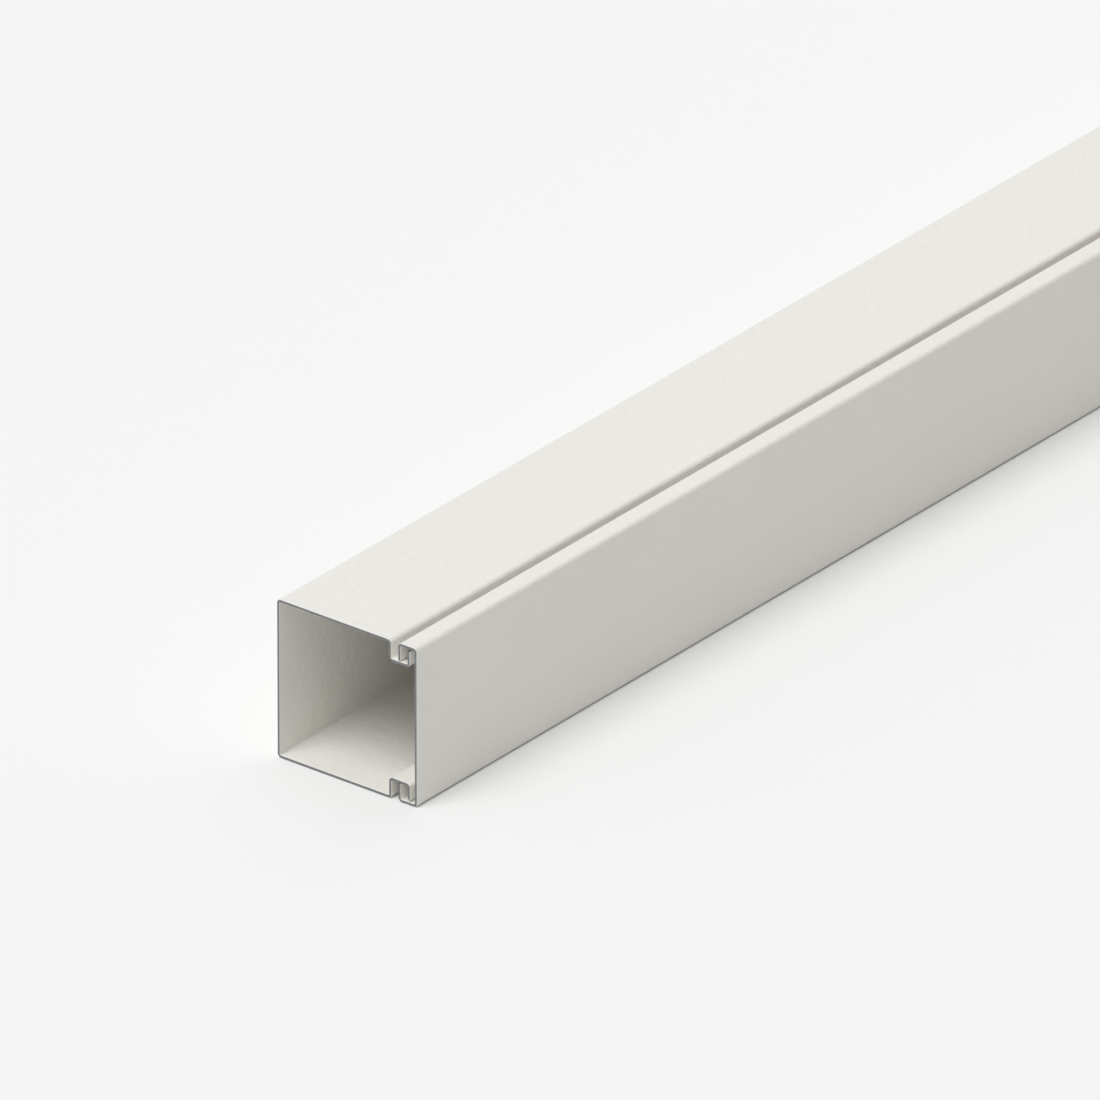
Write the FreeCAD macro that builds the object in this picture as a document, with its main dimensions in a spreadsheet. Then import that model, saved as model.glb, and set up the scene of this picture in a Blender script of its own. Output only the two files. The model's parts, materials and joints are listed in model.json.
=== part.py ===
"""Steel cable trunking: a roll-formed channel with trough lips and a clip-on cover.

X runs along the trunking, the cover faces -Y, the back wall faces +Y, and the trunking lies on Z = 0.
Both sections are alike above and below their middle height.
"""

import FreeCAD, Part
import os

import Sketcher
from FreeCAD import Vector

# Driving dimensions in millimetres
SIZES = {
    "length": 2000.0,  # stock length
    "height": 60.0,  # outside height of the section
    "depth": 60.0,  # outside depth, from the back wall to the face of the cover
    "sheet": 1.0,  # thickness of the sheet steel
    "bend_radius": 0.5,  # inside radius of every fold
    "lip_depth": 8.0,  # each lip, from the outside of its wall to the underside of its trough
    "cover_gap": 2.0,  # from the cover plate to the front leg of the lip
    "hook_gap": 3.0,  # from the front leg of the lip to the hook
    "groove_width": 3.0,  # open groove between the hook and the end of the wall
    "rim_gap": 1.0,  # from the rim of the lip to the flange over it
    "seat_clearance": 0.3,  # from the edge of the hook to the trough floor that it seats on
    "slot_length": 12.0,  # fixing slot in the back wall, over its round ends
    "slot_width": 6.0,
    "slot_pitch": 250.0,  # from slot to slot along the back wall
}

# Levels across the section, along Y, from the cover to the back wall
COVER_FACE = "-Sizes.depth / 2"
COVER_INSIDE = f"{COVER_FACE} + Sizes.sheet"
LIP_FRONT = f"{COVER_INSIDE} + Sizes.cover_gap"
LIP_REAR = f"{LIP_FRONT} + Sizes.sheet"
HOOK_FRONT = f"{LIP_REAR} + Sizes.hook_gap"
HOOK_REAR = f"{HOOK_FRONT} + Sizes.sheet"
WALL_END = f"{HOOK_REAR} + Sizes.groove_width"
LEG_REAR = f"{WALL_END} + Sizes.sheet"
BACK_FACE = "Sizes.depth / 2"
BACK_INSIDE = f"{BACK_FACE} - Sizes.sheet"

# Levels of the upper half, along Z, from the middle height
MIDDLE = "Sizes.height / 2"
OUTSIDE = MIDDLE
INSIDE = f"{OUTSIDE} - Sizes.sheet"
RIM = f"{INSIDE} - Sizes.rim_gap"
TROUGH_UNDERSIDE = f"{OUTSIDE} - Sizes.lip_depth"
TROUGH_FLOOR = f"{TROUGH_UNDERSIDE} + Sizes.sheet"
HOOK_EDGE = f"{TROUGH_FLOOR} + Sizes.seat_clearance"

# Upper half of each sheet's section, as (Y, Z) corners of its two faces, side by side from the free rim
BASE_OUTER_RIM = (LIP_REAR, RIM)
BASE_INNER_RIM = (LIP_FRONT, RIM)
TROUGH_OUTER_FACE = [(LIP_REAR, TROUGH_FLOOR), (WALL_END, TROUGH_FLOOR)]
TROUGH_INNER_FACE = [(LIP_FRONT, TROUGH_UNDERSIDE), (LEG_REAR, TROUGH_UNDERSIDE)]
WALL_OUTER_FACE = [(WALL_END, OUTSIDE), (BACK_FACE, OUTSIDE)]
WALL_INNER_FACE = [(LEG_REAR, INSIDE), (BACK_INSIDE, INSIDE)]
COVER_OUTER_RIM = (HOOK_REAR, HOOK_EDGE)
COVER_INNER_RIM = (HOOK_FRONT, HOOK_EDGE)
COVER_OUTER_FACE = [(HOOK_REAR, OUTSIDE), (COVER_FACE, OUTSIDE)]
COVER_INNER_FACE = [(HOOK_FRONT, INSIDE), (COVER_INSIDE, INSIDE)]

# Radii of every fold, on the inside and on the outside of the bent sheet
FOLD_INSIDE = "Sizes.bend_radius"
FOLD_OUTSIDE = "Sizes.bend_radius + Sizes.sheet"

# Row of fixing slots, centred on the length
SLOT_COUNT = "max(1; floor(Sizes.length / Sizes.slot_pitch))"
SLOT_RADIUS = "Sizes.slot_width / 2"
SLOT_STRAIGHT = "(Sizes.slot_length - Sizes.slot_width)"
FIRST_SLOT_ARC = f"-({SLOT_COUNT} - 1) * Sizes.slot_pitch / 2 - {SLOT_STRAIGHT} / 2"

# Sketcher's numbers for the origin, the horizontal axis, and the points of a line or an arc
ORIGIN = -1
HORIZONTAL_AXIS = -1
START, END, CENTRE = 1, 2, 3


def below(corners):
    """The same corners of the section, mirrored to the lower half."""
    return [(across, f"-({up})") for across, up in corners]


def bent_sheet(outer_face, inner_face):
    """Closed section of a bent sheet: down along its outer face and up again along its inner face."""
    return outer_face + below(outer_face)[::-1] + below(inner_face) + inner_face[::-1]


def make_sizes(doc):
    """Put the driving dimensions into a spreadsheet, one aliased cell each."""
    sizes = doc.addObject("Spreadsheet::Sheet", "Sizes")
    for row, (alias, value) in enumerate(SIZES.items(), start=1):
        sizes.set(f"A{row}", str(value))
        sizes.setAlias(f"A{row}", alias)
    doc.recompute()


def number(doc, expression):
    return float(doc.Sizes.evalExpression(expression))


def make_body(doc, label):
    body = doc.addObject("PartDesign::Body", label)
    body.Label = label
    return body


def sketch_at_middle(body, role, name):
    """Sketch on one of the body's own origin planes, lifted to the middle height."""
    sketch = body.newObject("Sketcher::SketchObject", name)
    plane = next(feature for feature in body.Origin.OriginFeatures if feature.Role == role)
    sketch.AttachmentSupport = (plane, [""])
    sketch.MapMode = "FlatFace"
    sketch.setExpression("AttachmentOffset.Base.y", MIDDLE)
    return sketch


def hold(sketch, kind, references, expression):
    """Add a dimension to a sketch and bind it to the spreadsheet."""
    value = number(sketch.Document, expression)
    index = sketch.addConstraint(Sketcher.Constraint(kind, *references, value))
    sketch.setExpression(f"Constraints[{index}]", expression)


def pad_section(body, corners):
    """Pad a closed section of upright and level lines, half the length to each side of the origin."""
    doc = body.Document
    sketch = sketch_at_middle(body, "YZ_Plane", f"{body.Label}_section")
    points = [Vector(number(doc, across), number(doc, up), 0) for across, up in corners]
    for line in range(len(corners)):
        following = (line + 1) % len(corners)
        sketch.addGeometry(Part.LineSegment(points[line], points[following]), False)
    for line, (across, up) in enumerate(corners):
        following = (line + 1) % len(corners)
        sketch.addConstraint(Sketcher.Constraint("Coincident", line, END, following, START))
        if corners[following][0] == across:
            sketch.addConstraint(Sketcher.Constraint("Vertical", line))
            hold(sketch, "DistanceX", (ORIGIN, START, line, START), across)
        else:
            sketch.addConstraint(Sketcher.Constraint("Horizontal", line))
            hold(sketch, "DistanceY", (ORIGIN, START, line, START), up)
    pad = body.newObject("PartDesign::Pad", f"{body.Label}_length")
    pad.Profile = sketch
    pad.SideType = "Symmetric"
    pad.setExpression("Length", "Sizes.length")
    doc.recompute()


def round_folds(body, name, corners, radius):
    """Round the long edges that stand at the given corners of the section, above and below."""
    doc = body.Document
    solid = body.Tip
    centres = [edge.CenterOfMass for edge in solid.Shape.Edges]
    names = []
    for across, up in corners + below(corners):
        corner = Vector(0, number(doc, across), number(doc, MIDDLE) + number(doc, up))
        distances = [centre.distanceToPoint(corner) for centre in centres]
        names.append(f"Edge{distances.index(min(distances)) + 1}")
    fillet = body.newObject("PartDesign::Fillet", f"{body.Label}_{name}")
    fillet.Base = (solid, names)
    fillet.setExpression("Radius", radius)
    doc.recompute()


def punch_slots(body):
    """Punch one row of round-ended fixing slots through the back wall, at its middle height."""
    doc = body.Document
    sketch = sketch_at_middle(body, "XZ_Plane", "fixing_slot_outline")
    radius = number(doc, SLOT_RADIUS)
    near = number(doc, FIRST_SLOT_ARC)
    far = near + number(doc, SLOT_STRAIGHT)
    near_low, near_tip, near_high = Vector(near, -radius), Vector(near - radius, 0), Vector(near, radius)
    far_low, far_tip, far_high = Vector(far, -radius), Vector(far + radius, 0), Vector(far, radius)
    low_line = sketch.addGeometry(Part.LineSegment(near_low, far_low), False)
    far_arc = sketch.addGeometry(Part.ArcOfCircle(far_low, far_tip, far_high), False)
    high_line = sketch.addGeometry(Part.LineSegment(far_high, near_high), False)
    near_arc = sketch.addGeometry(Part.ArcOfCircle(near_high, near_tip, near_low), False)
    outline = [low_line, far_arc, high_line, near_arc]
    for here, following in zip(outline, outline[1:] + outline[:1]):
        sketch.addConstraint(Sketcher.Constraint("Tangent", here, END, following, START))
    sketch.addConstraint(Sketcher.Constraint("Horizontal", low_line))
    sketch.addConstraint(Sketcher.Constraint("Equal", near_arc, far_arc))
    sketch.addConstraint(Sketcher.Constraint("PointOnObject", near_arc, CENTRE, HORIZONTAL_AXIS))
    hold(sketch, "DistanceX", (ORIGIN, START, near_arc, CENTRE), FIRST_SLOT_ARC)
    hold(sketch, "DistanceX", (near_arc, CENTRE, far_arc, CENTRE), SLOT_STRAIGHT)
    hold(sketch, "Radius", (near_arc,), SLOT_RADIUS)
    slot = body.newObject("PartDesign::Pocket", "fixing_slot")
    slot.Profile = sketch
    slot.Type = "ThroughAll"
    doc.recompute()
    row = body.newObject("PartDesign::LinearPattern", "fixing_slot_row")
    row.Originals = [slot]
    row.Direction = (sketch, ["H_Axis"])
    row.Mode = "Spacing"
    row.setExpression("Offset", "Sizes.slot_pitch")
    row.setExpression("Occurrences", SLOT_COUNT)
    body.Tip = row
    doc.recompute()


def make_base(doc):
    """Square channel: back wall, two side walls, and a trough folded inwards along each wall's end."""
    base = make_body(doc, "trunking_base")
    outer_face = [BASE_OUTER_RIM] + TROUGH_OUTER_FACE + WALL_OUTER_FACE
    inner_face = [BASE_INNER_RIM] + TROUGH_INNER_FACE + WALL_INNER_FACE
    pad_section(base, bent_sheet(outer_face, inner_face))
    round_folds(base, "inside_of_folds", TROUGH_OUTER_FACE + WALL_INNER_FACE, FOLD_INSIDE)
    round_folds(base, "outside_of_folds", TROUGH_INNER_FACE + WALL_OUTER_FACE, FOLD_OUTSIDE)
    punch_slots(base)
    return base


def make_cover(doc):
    """Flat cover plate with a flange and a hook folded along each long edge, hanging in the troughs."""
    cover = make_body(doc, "trunking_cover")
    outer_face = [COVER_OUTER_RIM] + COVER_OUTER_FACE
    inner_face = [COVER_INNER_RIM] + COVER_INNER_FACE
    pad_section(cover, bent_sheet(outer_face, inner_face))
    round_folds(cover, "inside_of_folds", COVER_INNER_FACE, FOLD_INSIDE)
    round_folds(cover, "outside_of_folds", COVER_OUTER_FACE, FOLD_OUTSIDE)
    return cover


def check(doc, bodies):
    """Stop if any feature failed or a piece is not one valid solid."""
    for item in doc.Objects:
        if "Invalid" in item.State or "Error" in item.State:
            raise RuntimeError(f"{item.Label} failed: {item.State}")
    for body in bodies:
        if body.Shape.isNull() or not body.Shape.isValid() or len(body.Shape.Solids) != 1:
            raise RuntimeError(f"{body.Label} is not one valid solid")


doc = FreeCAD.newDocument("CableTrunking")
make_sizes(doc)
pieces = [make_base(doc), make_cover(doc)]
check(doc, pieces)
os.makedirs("parts", exist_ok=True)
for piece in pieces:
    piece.Shape.exportStep(f"parts/{piece.Label}.step")
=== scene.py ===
"""Looks of a length of sheet-steel cable trunking, its channel and its clip-on cover, in a plain studio."""

import json
import math

import bpy
import numpy as np
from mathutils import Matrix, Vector


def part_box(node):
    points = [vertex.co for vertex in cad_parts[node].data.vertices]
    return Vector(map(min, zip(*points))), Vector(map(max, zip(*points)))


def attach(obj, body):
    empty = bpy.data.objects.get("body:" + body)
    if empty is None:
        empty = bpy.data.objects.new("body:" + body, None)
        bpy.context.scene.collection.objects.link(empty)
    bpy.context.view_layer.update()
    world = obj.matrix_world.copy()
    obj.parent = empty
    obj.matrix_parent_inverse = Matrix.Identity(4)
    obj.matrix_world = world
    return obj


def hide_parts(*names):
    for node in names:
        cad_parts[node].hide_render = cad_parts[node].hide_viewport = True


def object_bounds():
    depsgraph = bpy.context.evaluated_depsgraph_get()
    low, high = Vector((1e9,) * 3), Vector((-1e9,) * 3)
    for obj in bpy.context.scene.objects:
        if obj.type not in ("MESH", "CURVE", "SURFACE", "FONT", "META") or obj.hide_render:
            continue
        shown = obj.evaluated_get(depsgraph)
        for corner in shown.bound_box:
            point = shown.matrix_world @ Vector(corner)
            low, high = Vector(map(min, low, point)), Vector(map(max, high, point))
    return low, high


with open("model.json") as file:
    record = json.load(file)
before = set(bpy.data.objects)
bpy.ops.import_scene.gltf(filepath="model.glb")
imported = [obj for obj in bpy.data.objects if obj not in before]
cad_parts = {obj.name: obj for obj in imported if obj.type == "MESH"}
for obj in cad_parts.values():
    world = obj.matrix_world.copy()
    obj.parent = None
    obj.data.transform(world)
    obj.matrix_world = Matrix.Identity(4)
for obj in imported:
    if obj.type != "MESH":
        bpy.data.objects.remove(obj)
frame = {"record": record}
cad_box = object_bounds()

MM = 0.001

# Section of the folded sheets, in metres
SHEET = 1.0 * MM
FOLD_RADIUS = 1.0 * MM  # to the middle of the sheet
LIP_DEPTH = 8.0 * MM  # from the outside of a wall to the underside of its trough
RIM_DROP = 2.0 * MM  # from the outside of a wall to the rim of its lip
WALL_END = 11.0 * MM  # from the face of the cover to the front end of the side walls
HOOK_DEPTH = 6.7 * MM  # from the outside of the cover to the free edge of its hook

# Fineness of the meshes
FOLD_STEPS = 6  # facets of each fold
FOLD_MARGIN = 0.4 * MM  # narrow strip beside each fold that keeps the flats flat
SOFT_EDGE = 0.08 * MM  # bevel of the sheared edges
STATION_STEP = 50.0 * MM  # longest facet along the trunking
SLOT_PATCH = (24.0 * MM, 20.0 * MM)  # length and height of the wall patch round each fixing slot
PATCH_RINGS = 9  # rings of that patch, from its middle to its border
SLOT_RING = 6  # the ring that lies on the edge of the slot; the next one ends the bevel
PATCH_LINES = 2 * PATCH_RINGS + 1  # grid lines across the patch
PATCH_SHARES = np.linspace(-0.5, 0.5, PATCH_LINES)  # where they lie, as shares of its side
SHARP_ANGLE = math.radians(30)  # a steeper edge isn't smoothed

# Flat map of each sheet, through which its finish is baked; sizes are shares of the map's side
FLAT_MAP = "OFBake"
MAP_GAP = 4 / 1024  # between two strips
CUT_STRIP = 8 / 1024  # height of the strip of a cut edge

# White coat of the sheets
COAT_TINTS = ("#F3F1EC", "#EFEDE7")  # the two tints that drift into each other
COAT_IOR = 1.5
COAT_ROUGHNESS = (0.32, 0.48)  # of the glossiest and the dullest roller lines
TINT_CLOUD = 60.0 * MM
ROLLER_WAVE = (700.0 * MM, 35.0 * MM, 35.0 * MM)  # along the trunking and across it
ROLLER_WAVE_HEIGHT = 0.6 * MM
ROLLER_LINE = (400.0 * MM, 1.5 * MM, 1.5 * MM)
PEEL = 3.0 * MM  # drawn coarser than the real 1 mm, so that it shows
PEEL_HEIGHT = 0.2 * MM

# Bare steel of the cut edges
EDGE_TINTS = ("#6F7275", "#95989A")
EDGE_ROUGHNESS = (0.38, 0.6)
EDGE_MARK = 0.7 * MM

# The camera, matched to the photograph of 1100 x 1100 pixels
PHOTO_SIDE_PX = 1100.0
NEAR_END_PX = (347.2, 782.3)  # point on the floor under the middle of the near end
PX_PER_METRE = 2972.5  # scale at the near end
VIEW_AZIMUTH = math.radians(-51.71)
VIEW_ELEVATION = math.radians(27.24)
LENS_MM = 1200.0
SENSOR_MM = 36.0

# The studio
FLOOR_HALF_SIDE = 80.0
FLOOR_DROP = 0.2 * MM  # keeps the floor clear of the underside
FLOOR_LOOK = "#F7F7F7"  # as the camera and reflections see it
FLOOR_BOUNCE = "#E6E6E4"  # as it throws light back
KEY_AZIMUTH = math.radians(-93)
KEY_ELEVATION = math.radians(63)
KEY_LEVEL = 1.6
KEY_SPREAD = math.radians(36)  # wide, for a soft shadow
GLOW_AZIMUTH = math.radians(-140)
GLOW_ELEVATION = math.radians(40)
SURROUND_LEVELS = (0.10, 0.70)  # away from the glow and in its middle


def linear(hex_colour):
    """sRGB hex colour to a linear RGBA tuple."""
    srgb = np.array([int(hex_colour[i : i + 2], 16) for i in (1, 3, 5)]) / 255.0
    rgb = np.where(srgb <= 0.04045, srgb / 12.92, ((srgb + 0.055) / 1.055) ** 2.4)
    return (*rgb.tolist(), 1.0)


def add_node(tree, kind, inputs=None, **settings):
    """Add one node. Settings are its properties; inputs give each socket a value or another node's output."""
    node = tree.nodes.new(kind)
    for name, value in settings.items():
        setattr(node, name, value)
    for name, value in (inputs or {}).items():
        if isinstance(value, bpy.types.NodeSocket):
            tree.links.new(value, node.inputs[name])
        else:
            node.inputs[name].default_value = value
    return node


def new_material(name):
    """Material with no nodes yet, and its node tree."""
    material = bpy.data.materials.new(name)
    material.use_nodes = True
    material.node_tree.nodes.clear()
    return material, material.node_tree


def add_object(name, data):
    """Object at the origin, linked to the scene."""
    added = bpy.data.objects.new(name, data)
    bpy.context.scene.collection.objects.link(added)
    return added


def coil_coated_steel():
    """Galvanised sheet with a baked satin polyester coat, roll-formed to its section.

    The coat gives a warm white with a soft sheen and a fine orange peel. The rollers leave shallow waves
    along the length and finer lines in the gloss.
    """
    material, tree = new_material("coil_coated_steel_white")
    place = add_node(tree, "ShaderNodeTexCoord").outputs["Object"]
    cloud = add_node(tree, "ShaderNodeTexNoise", {"Vector": place, "Scale": 1 / TINT_CLOUD, "Detail": 3.0})
    tint = add_node(
        tree,
        "ShaderNodeMix",
        {"Factor": cloud.outputs["Fac"], "A": linear(COAT_TINTS[0]), "B": linear(COAT_TINTS[1])},
        data_type="RGBA",
    )
    wave_place = add_node(
        tree, "ShaderNodeMapping", {"Vector": place, "Scale": [1 / size for size in ROLLER_WAVE]}
    )
    waves = add_node(
        tree, "ShaderNodeTexNoise", {"Vector": wave_place.outputs["Vector"], "Scale": 1.0, "Detail": 1.0}
    )
    line_place = add_node(
        tree, "ShaderNodeMapping", {"Vector": place, "Scale": [1 / size for size in ROLLER_LINE]}
    )
    lines = add_node(
        tree, "ShaderNodeTexNoise", {"Vector": line_place.outputs["Vector"], "Scale": 1.0, "Detail": 4.0}
    )
    peel = add_node(tree, "ShaderNodeTexNoise", {"Vector": place, "Scale": 1 / PEEL, "Detail": 1.0})
    gloss = add_node(
        tree,
        "ShaderNodeMapRange",
        {"Value": lines.outputs["Fac"], "To Min": COAT_ROUGHNESS[0], "To Max": COAT_ROUGHNESS[1]},
    )
    waved = add_node(tree, "ShaderNodeBump", {"Height": waves.outputs["Fac"], "Distance": ROLLER_WAVE_HEIGHT})
    peeled = add_node(
        tree,
        "ShaderNodeBump",
        {"Height": peel.outputs["Fac"], "Distance": PEEL_HEIGHT, "Normal": waved.outputs["Normal"]},
    )
    surface = add_node(
        tree,
        "ShaderNodeBsdfPrincipled",
        {
            "Base Color": tint.outputs["Result"],
            "Roughness": gloss.outputs["Result"],
            "Normal": peeled.outputs["Normal"],
            "IOR": COAT_IOR,
        },
    )
    add_node(tree, "ShaderNodeOutputMaterial", {"Surface": surface.outputs["BSDF"]})
    return material


def sheared_steel():
    """Bare edge of galvanised sheet where it was sheared or punched: dull grey, with fine uneven marks."""
    material, tree = new_material("sheared_steel_edge")
    place = add_node(tree, "ShaderNodeTexCoord").outputs["Object"]
    marks = add_node(tree, "ShaderNodeTexNoise", {"Vector": place, "Scale": 1 / EDGE_MARK, "Detail": 3.0})
    tint = add_node(
        tree,
        "ShaderNodeMix",
        {"Factor": marks.outputs["Fac"], "A": linear(EDGE_TINTS[0]), "B": linear(EDGE_TINTS[1])},
        data_type="RGBA",
    )
    dullness = add_node(
        tree,
        "ShaderNodeMapRange",
        {"Value": marks.outputs["Fac"], "To Min": EDGE_ROUGHNESS[0], "To Max": EDGE_ROUGHNESS[1]},
    )
    surface = add_node(
        tree,
        "ShaderNodeBsdfPrincipled",
        {"Base Color": tint.outputs["Result"], "Metallic": 1.0, "Roughness": dullness.outputs["Result"]},
    )
    add_node(tree, "ShaderNodeOutputMaterial", {"Surface": surface.outputs["BSDF"]})
    return material


def folded_line(corners, patch_run=None):
    """Centre line of a folded sheet in its section: straight runs joined by quarter circles.

    A fold's points are its centre plus the radius times (sine along the run before it, minus cosine
    along the run after it). The run numbered patch_run also gets the rows of the slot patches.
    Returns the points, the unit normals to the left of travel, and the first row of the patches.
    """
    corners = np.array(corners)
    steps = np.diff(corners, axis=0)
    lengths = np.linalg.norm(steps, axis=1)
    headings = steps / lengths[:, None]
    last = len(headings) - 1
    quarter = np.linspace(0, np.pi / 2, FOLD_STEPS + 1)[:, None]
    points, tangents, patch_row = [], [], None
    for run, (corner, heading, length) in enumerate(zip(corners, headings, lengths)):
        start = [0, SOFT_EDGE] if run == 0 else [FOLD_RADIUS + FOLD_MARGIN]
        end = [length - SOFT_EDGE, length] if run == last else [length - FOLD_RADIUS - FOLD_MARGIN]
        if run == patch_run:
            patch_row = sum(map(len, points)) + len(start)
            start += (length / 2 + PATCH_SHARES * SLOT_PATCH[1]).tolist()
        marks = np.array(start + end)[:, None]
        points.append(corner + marks * heading)
        tangents.append(np.ones_like(marks) * heading)
        if run < last:
            turned = headings[run + 1]
            centre = corners[run + 1] + FOLD_RADIUS * (turned - heading)
            points.append(centre + FOLD_RADIUS * (np.sin(quarter) * heading - np.cos(quarter) * turned))
            tangents.append(np.cos(quarter) * heading + np.sin(quarter) * turned)
    points, tangents = np.concatenate(points), np.concatenate(tangents)
    normals = np.stack([-tangents[:, 1], tangents[:, 0]], axis=1)
    return points, normals, patch_row


def stations(low, high, slot_places):
    """Places along the length: the bevel at each end, the lines of each slot patch, and even steps between.

    Also returns the number of each patch's first station.
    """
    groups = [np.array([low, low + SOFT_EDGE])]
    groups += [place + PATCH_SHARES * SLOT_PATCH[0] for place in slot_places]
    groups += [np.array([high - SOFT_EDGE, high])]
    places, patch_stations = [groups[0]], []
    for before, after in zip(groups, groups[1:]):
        count = math.ceil((after[0] - before[-1]) / STATION_STEP)
        places.append(np.linspace(before[-1], after[0], count + 1)[1:-1])
        patch_stations.append(sum(map(len, places)))
        places.append(after)
    return np.concatenate(places), patch_stations[:-1]


def sheet_grid(places, points, normals):
    """Both faces of a sheet whose section is carried straight along X, by station, face and section point.

    A face is the centre line moved half the thickness to its left or to its right. At the rims and the
    ends it is moved a little less, which makes their bevel.
    """
    half = np.full((len(places), 1, len(points), 1), SHEET / 2 - SOFT_EDGE)
    half[1:-1, :, 1:-1] = SHEET / 2
    side = np.array([1, -1])[:, None, None]
    grid = np.empty((len(places), 2, len(points), 3))
    grid[..., 0] = places[:, None, None]
    grid[..., 1:] = points + normals * side * half
    return grid


def slot_patch(slot_length, slot_width):
    """Grid round one slot, as offsets along the length and along the section from the slot's middle.

    A grid point's ring is the larger of its two indices. The slot's ring lies on the slot's outline:
    two straights, and two half circles with points at even angles. The next ring lies one bevel outside
    it, and from there the rings go in even steps to the patch's rectangle. Also returns which points
    are on the slot's ring.
    """
    index = np.arange(-PATCH_RINGS, PATCH_RINGS + 1)
    i, j = np.meshgrid(index, index, indexing="ij")
    ring = np.maximum(np.abs(i), np.abs(j))
    square = np.stack([i, j], axis=-1) / np.maximum(ring, 1)[..., None]
    border = square * np.array(SLOT_PATCH) / 2
    straight = np.clip(2 * square[..., 0], -1, 1)
    bend = np.stack([2 * square[..., 0] - straight, square[..., 1]], axis=-1)
    bend = np.tan(np.pi / 4 * bend)
    bend /= np.maximum(np.linalg.norm(bend, axis=-1, keepdims=True), 1e-9)
    past = ring - SLOT_RING
    outline = bend * (slot_width / 2 + SOFT_EDGE * np.clip(past, 0, 1))[..., None]
    outline[..., 0] += straight * (slot_length - slot_width) / 2
    share = np.clip((past - 1) / (PATCH_RINGS - SLOT_RING - 1), 0, 1)[..., None]
    return (1 - share) * outline + share * border, past == 0


def cut_slot(slot, station, row, grid, blank, whole):
    """Move one patch of a sheet to its slot's outline, bevel the slot's edge and open the cells inside it.

    Returns the stations and section points round the slot's edge, in order and closed.
    """
    columns = slice(station, station + PATCH_LINES)
    rows = slice(row, row + PATCH_LINES)
    patch = grid[columns, :, rows]
    middle = patch[PATCH_RINGS, :, PATCH_RINGS].mean(axis=0)
    offsets, at_edge = slot_patch(slot["length"], slot["width"])
    patch[..., 0] = middle[0] + offsets[:, None, :, 0]
    patch[..., 1] += (middle[1] - patch[..., 1]) * at_edge[:, None, :] * SOFT_EDGE / (SHEET / 2)
    patch[..., 2] = middle[2] - offsets[:, None, :, 1]
    blank[columns, rows] = blank[station + PATCH_RINGS, row + PATCH_RINGS] + offsets
    hole = slice(PATCH_RINGS - SLOT_RING, PATCH_RINGS + SLOT_RING)
    whole[columns, rows][hole, hole] = False
    side = np.arange(-SLOT_RING, SLOT_RING)
    far = np.full_like(side, SLOT_RING)
    i = np.concatenate([side, far, -side, -far, side[:1]])
    j = np.concatenate([-far, side, far, -side, -far[:1]])
    return station + PATCH_RINGS + i, row + PATCH_RINGS + j


def coat_strips(index, blank, whole):
    """Both faces of a sheet, cut across into as many lengths as fill a square map evenly.

    Each strip is a grid of point numbers, its places on the flat blank, and which of its cells are there.
    """
    places = blank[:, 0, 0]
    length, width = np.ptp(blank, axis=(0, 1))
    count = round(math.sqrt(length / (2 * width)))
    cuts = [np.abs(places - cut).argmin() for cut in np.linspace(places[0], places[-1], count + 1)]
    strips = []
    for start, end in zip(cuts, cuts[1:]):
        lines = slice(start, end + 1)
        strips.append((index[lines, 0], blank[lines], whole[start:end]))
        strips.append((index[lines, 1, ::-1], blank[lines, ::-1] * (1, -1), whole[start:end, ::-1]))
    return strips


def cut_strips(index, blank, slot_rings):
    """Cut edges of a sheet, as strips in the same form: both rims, both ends and the wall of each slot."""
    places, unrolled = blank[:, 0, 0], blank[0, :, 1]
    edges = [
        (index[:, ::-1, 0], places),
        (index[:, :, -1], places),
        (index[0].T, unrolled),
        (index[-1, ::-1].T, unrolled),
    ]
    edges += [(index[i, :, j], np.arange(len(i))) for i, j in slot_rings]
    return [
        (numbers, np.stack(np.meshgrid(along, (0, 1), indexing="ij"), axis=-1), np.ones(len(along) - 1, bool))
        for numbers, along in edges
    ]


def cells(grid):
    """Corners of each cell of a grid, in order round it."""
    corners = [grid[:-1, :-1], grid[1:, :-1], grid[1:, 1:], grid[:-1, 1:]]
    return np.stack(corners, axis=2).reshape(-1, 4, *grid.shape[2:])


def lay_rows(strips, height, low):
    """Faces of a sheet's strips, and the places of their corners on the flat map.

    The strips lie in rows of one height, from a low edge upwards. Each is stretched to fill its row.
    """
    faces, on_map = [], []
    for row, (numbers, places, there) in enumerate(strips):
        share = (places - places.min(axis=(0, 1))) / np.ptp(places, axis=(0, 1))
        corner = np.array((0, low + row * (height + MAP_GAP))) + MAP_GAP / 2
        faces.append(cells(numbers)[there.ravel()])
        on_map.append(cells(corner + share * (1 - MAP_GAP, height))[there.ravel()])
    return np.concatenate(faces), np.concatenate(on_map)


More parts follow.
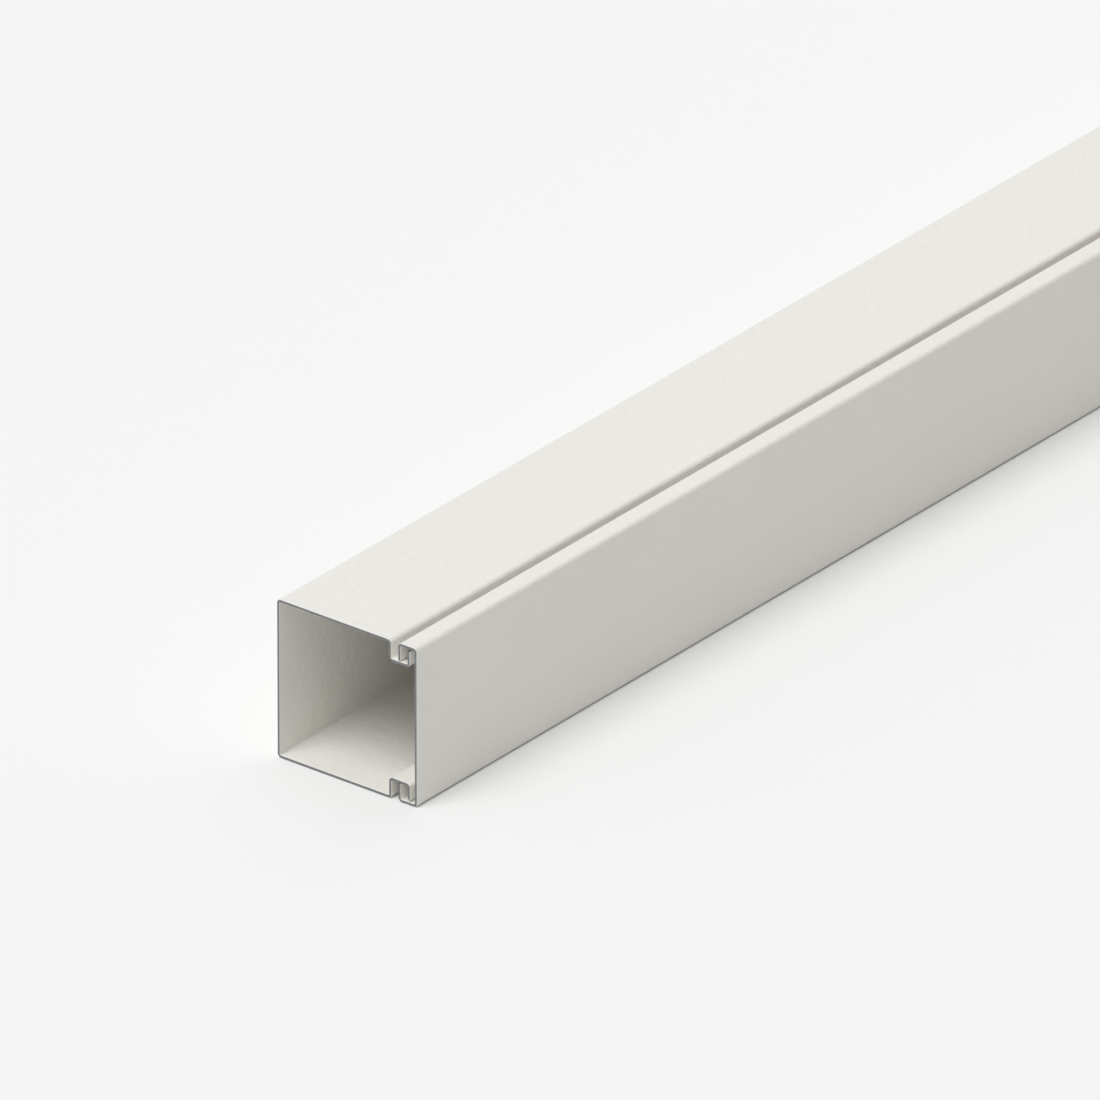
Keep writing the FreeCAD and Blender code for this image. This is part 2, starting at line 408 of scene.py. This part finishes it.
def sheet_piece(name, corners, low, high, coat, edge, patch_run=None, slots=()):
    """Folded sheet with square-cut ends and bevelled edges, coated on both faces and bare where it is cut."""
    points, normals, patch_row = folded_line(corners, patch_run)
    places, patch_stations = stations(low, high, [slot["place"] for slot in slots])
    grid = sheet_grid(places, points, normals)
    # The same sheet as a flat blank, by place along the length and distance along the section
    unrolled = np.append(0, np.linalg.norm(np.diff(points, axis=0), axis=1).cumsum())
    blank = np.stack(np.meshgrid(places, unrolled, indexing="ij"), axis=-1)
    whole = np.ones((len(places) - 1, len(points) - 1), bool)
    slot_rings = [
        cut_slot(slot, station, patch_row, grid, blank, whole) for slot, station in zip(slots, patch_stations)
    ]

    index = np.arange(grid[..., 0].size).reshape(grid.shape[:3])
    coated = coat_strips(index, blank, whole)
    bare = cut_strips(index, blank, slot_rings)
    bare_height = len(bare) * (CUT_STRIP + MAP_GAP)
    coat_faces, coat_places = lay_rows(coated, (1 - bare_height) / len(coated) - MAP_GAP, bare_height)
    cut_faces, cut_places = lay_rows(bare, CUT_STRIP, 0)
    faces = np.concatenate([coat_faces, cut_faces])
    flat_places = np.concatenate([coat_places, cut_places])
    is_cut = np.arange(len(faces)) >= len(coat_faces)
    used, faces = np.unique(faces, return_inverse=True)

    mesh = bpy.data.meshes.new(name)
    mesh.from_pydata(grid.reshape(-1, 3)[used].tolist(), [], faces.reshape(-1, 4).tolist())
    mesh.materials.append(coat)
    mesh.materials.append(edge)
    mesh.polygons.foreach_set("material_index", is_cut.astype(np.int32))
    mesh.polygons.foreach_set("use_smooth", np.ones(len(is_cut), bool))
    mesh.set_sharp_from_angle(angle=SHARP_ANGLE)
    mesh.uv_layers.new(name=FLAT_MAP).uv.foreach_set("vector", flat_places.astype(np.float32).ravel())
    mesh.update()
    return add_object(name, mesh)


def fixing_slots():
    """Places along the length and sizes of the slots, from the record's bolt patterns."""
    slots = []
    for mount in frame["record"]["mounts"]:
        if mount["kind"] != "bolt_pattern":
            continue
        sizes = mount["dims"]
        for way in (-0.5, 0.5):
            slots.append(
                {
                    "place": mount["pos_m"][0] + way * sizes["spacing_x_mm"] * MM,
                    "length": sizes["slot_length_mm"] * MM,
                    "width": 2 * sizes["hole_r_mm"] * MM,
                }
            )
    return sorted(slots, key=lambda slot: slot["place"])


def mirrored(half_section, low, high):
    """Other half of a section that is alike about its middle height, in the order of travel."""
    return [(y, low.z + high.z - z) for y, z in reversed(half_section)]


def make_channel(coat, edge):
    """Square channel with a trough-shaped lip along the front of each side wall, and slots in its back."""
    low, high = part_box("trunking_base")
    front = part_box("trunking_cover")[0].y
    half = SHEET / 2
    lip = low.y + half
    leg = front + WALL_END + half
    back = high.y - half
    top = high.z - half
    trough = high.z - LIP_DEPTH + half
    upper_half = [(lip, high.z - RIM_DROP), (lip, trough), (leg, trough), (leg, top), (back, top)]
    back_wall = len(upper_half) - 1
    section = upper_half + mirrored(upper_half, low, high)
    channel = sheet_piece("channel_sheet", section, low.x, high.x, coat, edge, back_wall, fixing_slots())
    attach(channel, "base")
    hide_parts("trunking_base")


def make_cover(coat, edge):
    """Flat plate with a flange along each long edge, which ends in a hook that hangs in the lip."""
    low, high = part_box("trunking_cover")
    half = SHEET / 2
    hook = high.y - half
    bottom = low.z + half
    lower_half = [(hook, low.z + HOOK_DEPTH), (hook, bottom), (low.y + half, bottom)]
    section = lower_half + mirrored(lower_half, low, high)
    cover = sheet_piece("cover_sheet", section, low.x, high.x, coat, edge)
    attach(cover, "cover")
    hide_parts("trunking_cover")


def make_floor():
    """Plain matt floor under the trunking. It looks white, and throws less light back than white would."""
    material, tree = new_material("white_floor")
    rays = add_node(tree, "ShaderNodeLightPath").outputs
    reflected = add_node(
        tree,
        "ShaderNodeMath",
        {0: rays["Is Glossy Ray"], 1: rays["Is Transmission Ray"]},
        operation="MAXIMUM",
    )
    seen = add_node(
        tree,
        "ShaderNodeMath",
        {0: rays["Is Camera Ray"], 1: reflected.outputs["Value"]},
        operation="MAXIMUM",
    )
    tint = add_node(
        tree,
        "ShaderNodeMix",
        {"Factor": seen.outputs["Value"], "A": linear(FLOOR_BOUNCE), "B": linear(FLOOR_LOOK)},
        data_type="RGBA",
    )
    surface = add_node(tree, "ShaderNodeBsdfDiffuse", {"Color": tint.outputs["Result"]})
    add_node(tree, "ShaderNodeOutputMaterial", {"Surface": surface.outputs["BSDF"]})
    corners = np.array([(-1, -1, 0), (1, -1, 0), (1, 1, 0), (-1, 1, 0)]) * FLOOR_HALF_SIDE
    corners[:, 2] = cad_box[0].z - FLOOR_DROP
    mesh = bpy.data.meshes.new("floor")
    mesh.from_pydata(corners.tolist(), [], [(0, 1, 2, 3)])
    mesh.materials.append(material)
    add_object("floor", mesh)


def towards(azimuth, elevation):
    """Unit vector from the object towards a camera or lamp at that azimuth and elevation."""
    level = math.cos(elevation)
    return Vector((math.sin(azimuth) * level, -math.cos(azimuth) * level, math.sin(elevation)))


def make_light():
    """Soft key light from high over the near end, in a white surround that is brightest behind that end."""
    world = bpy.data.worlds.new("studio")
    bpy.context.scene.world = world
    world.use_nodes = True
    tree = world.node_tree
    tree.nodes.clear()
    place = add_node(tree, "ShaderNodeTexCoord").outputs["Generated"]
    facing = add_node(
        tree,
        "ShaderNodeVectorMath",
        {0: place, 1: towards(GLOW_AZIMUTH, GLOW_ELEVATION)},
        operation="DOT_PRODUCT",
    )
    level = add_node(
        tree,
        "ShaderNodeMapRange",
        {
            "Value": facing.outputs["Value"],
            "From Min": -1.0,
            "To Min": SURROUND_LEVELS[0],
            "To Max": SURROUND_LEVELS[1],
        },
    )
    surround = add_node(
        tree, "ShaderNodeBackground", {"Color": linear("#FFFFFF"), "Strength": level.outputs["Result"]}
    )
    add_node(tree, "ShaderNodeOutputWorld", {"Surface": surround.outputs["Background"]})
    lamp = bpy.data.lights.new("key", "SUN")
    lamp.energy = KEY_LEVEL
    lamp.angle = KEY_SPREAD
    key = add_object("key", lamp)
    key.rotation_mode = "QUATERNION"
    key.rotation_quaternion = towards(KEY_AZIMUTH, KEY_ELEVATION).to_track_quat("Z", "Y")


def make_camera():
    """Long lens at the photograph's angle. The point at the near end falls on its own pixel with no shift."""
    back = towards(VIEW_AZIMUTH, VIEW_ELEVATION)
    right = Vector((math.cos(VIEW_AZIMUTH), math.sin(VIEW_AZIMUTH), 0))
    up = back.cross(right)
    low, high = cad_box
    near_end = Vector((low.x, (low.y + high.y) / 2, low.z))
    middle_px = PHOTO_SIDE_PX / 2
    aim = near_end + right * (middle_px - NEAR_END_PX[0]) / PX_PER_METRE
    aim += up * (NEAR_END_PX[1] - middle_px) / PX_PER_METRE
    lens = bpy.data.cameras.new("camera")
    lens.lens = LENS_MM
    lens.sensor_width = SENSOR_MM
    lens.clip_end = 4 * FLOOR_HALF_SIDE
    camera = add_object("camera", lens)
    camera.location = aim + back * (LENS_MM / SENSOR_MM * PHOTO_SIDE_PX / PX_PER_METRE)
    camera.rotation_mode = "QUATERNION"
    camera.rotation_quaternion = back.to_track_quat("Z", "Y")
    bpy.context.scene.camera = camera


coat_finish = coil_coated_steel()
edge_finish = sheared_steel()
make_channel(coat_finish, edge_finish)
make_cover(coat_finish, edge_finish)
make_floor()
make_light()
make_camera()
bpy.context.scene.view_settings.view_transform = "Standard"
